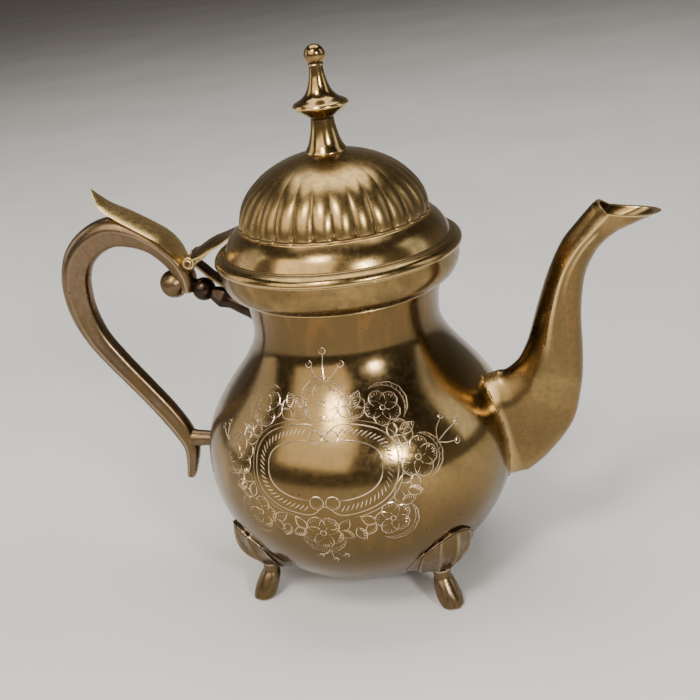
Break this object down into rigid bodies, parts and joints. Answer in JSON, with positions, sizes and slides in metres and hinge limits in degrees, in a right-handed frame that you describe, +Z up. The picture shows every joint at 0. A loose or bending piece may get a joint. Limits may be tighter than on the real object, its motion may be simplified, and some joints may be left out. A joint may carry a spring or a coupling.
{
  "type": "footed brass teapot",
  "caption": "Footed brass teapot with a hinged fluted-dome lid, tall finial, curved beak spout, cast S-scroll handle with thumb leaf, and scalloped shell feet.",
  "frame": {"origin": "on the pot's axis, at the level its feet stand on", "axes": "+X to the spout, -X to the handle and hinge, +Z up, +Y to the rear side"},
  "size_m": [0.2473, 0.128, 0.22],
  "materials": {
    "body_brass": "aged polished brass, olive gold, mirror-like with brown tarnish",
    "collar_brass": "aged polished brass with dark seam lines",
    "lid_brass": "polished brass with dark pits, tarnish in the flutes",
    "spout_brass": "satin aged brass, warmer on the inner face",
    "handle_brass": "cast brass, coppery brown tarnish, worn bright on the edges",
    "leaf_brass": "cast brass polished bright by the thumb",
    "burnt_brass": "cast brass blackened by soldering, copper-bright on the high spots",
    "lug_brass": "dull aged brass",
    "hinge_brass": "aged brass, dark in the joints",
    "foot_brass": "cast brass, coppery brown, bright on the ribs",
    "finial_brass": "turned brass, polished, dark in the grooves",
    "inner_brass": "dull unpolished brass"
  },
  "bodies": {
    "pot": {"body_shell": "body_brass", "base_disc": "body_brass", "collar": "collar_brass", "spout": "spout_brass", "spout_strainer": "inner_brass", "handle": "handle_brass", "thumb_leaf": "leaf_brass", "upper_arm": "burnt_brass", "lower_lug": "lug_brass", "hinge_strap": "hinge_brass", "hinge_pin": "hinge_brass", "foot_front_right": "foot_brass", "foot_front_left": "foot_brass", "foot_rear_left": "foot_brass", "foot_rear_right": "foot_brass"},
    "lid": {"lid_brim": "lid_brass", "lid_dome": "lid_brass", "lid_bezel": "inner_brass", "lid_leaf": "hinge_brass", "finial": "finial_brass", "finial_washer": "inner_brass", "finial_nut": "inner_brass"}
  },
  "joints": [
    {"name": "lid_hinge", "type": "hinge", "parent": "pot", "child": "lid", "pos_m": [-0.0609, 0, 0.1393], "axis": [0, -1, 0], "range_deg": [0, 96]}
  ]
}
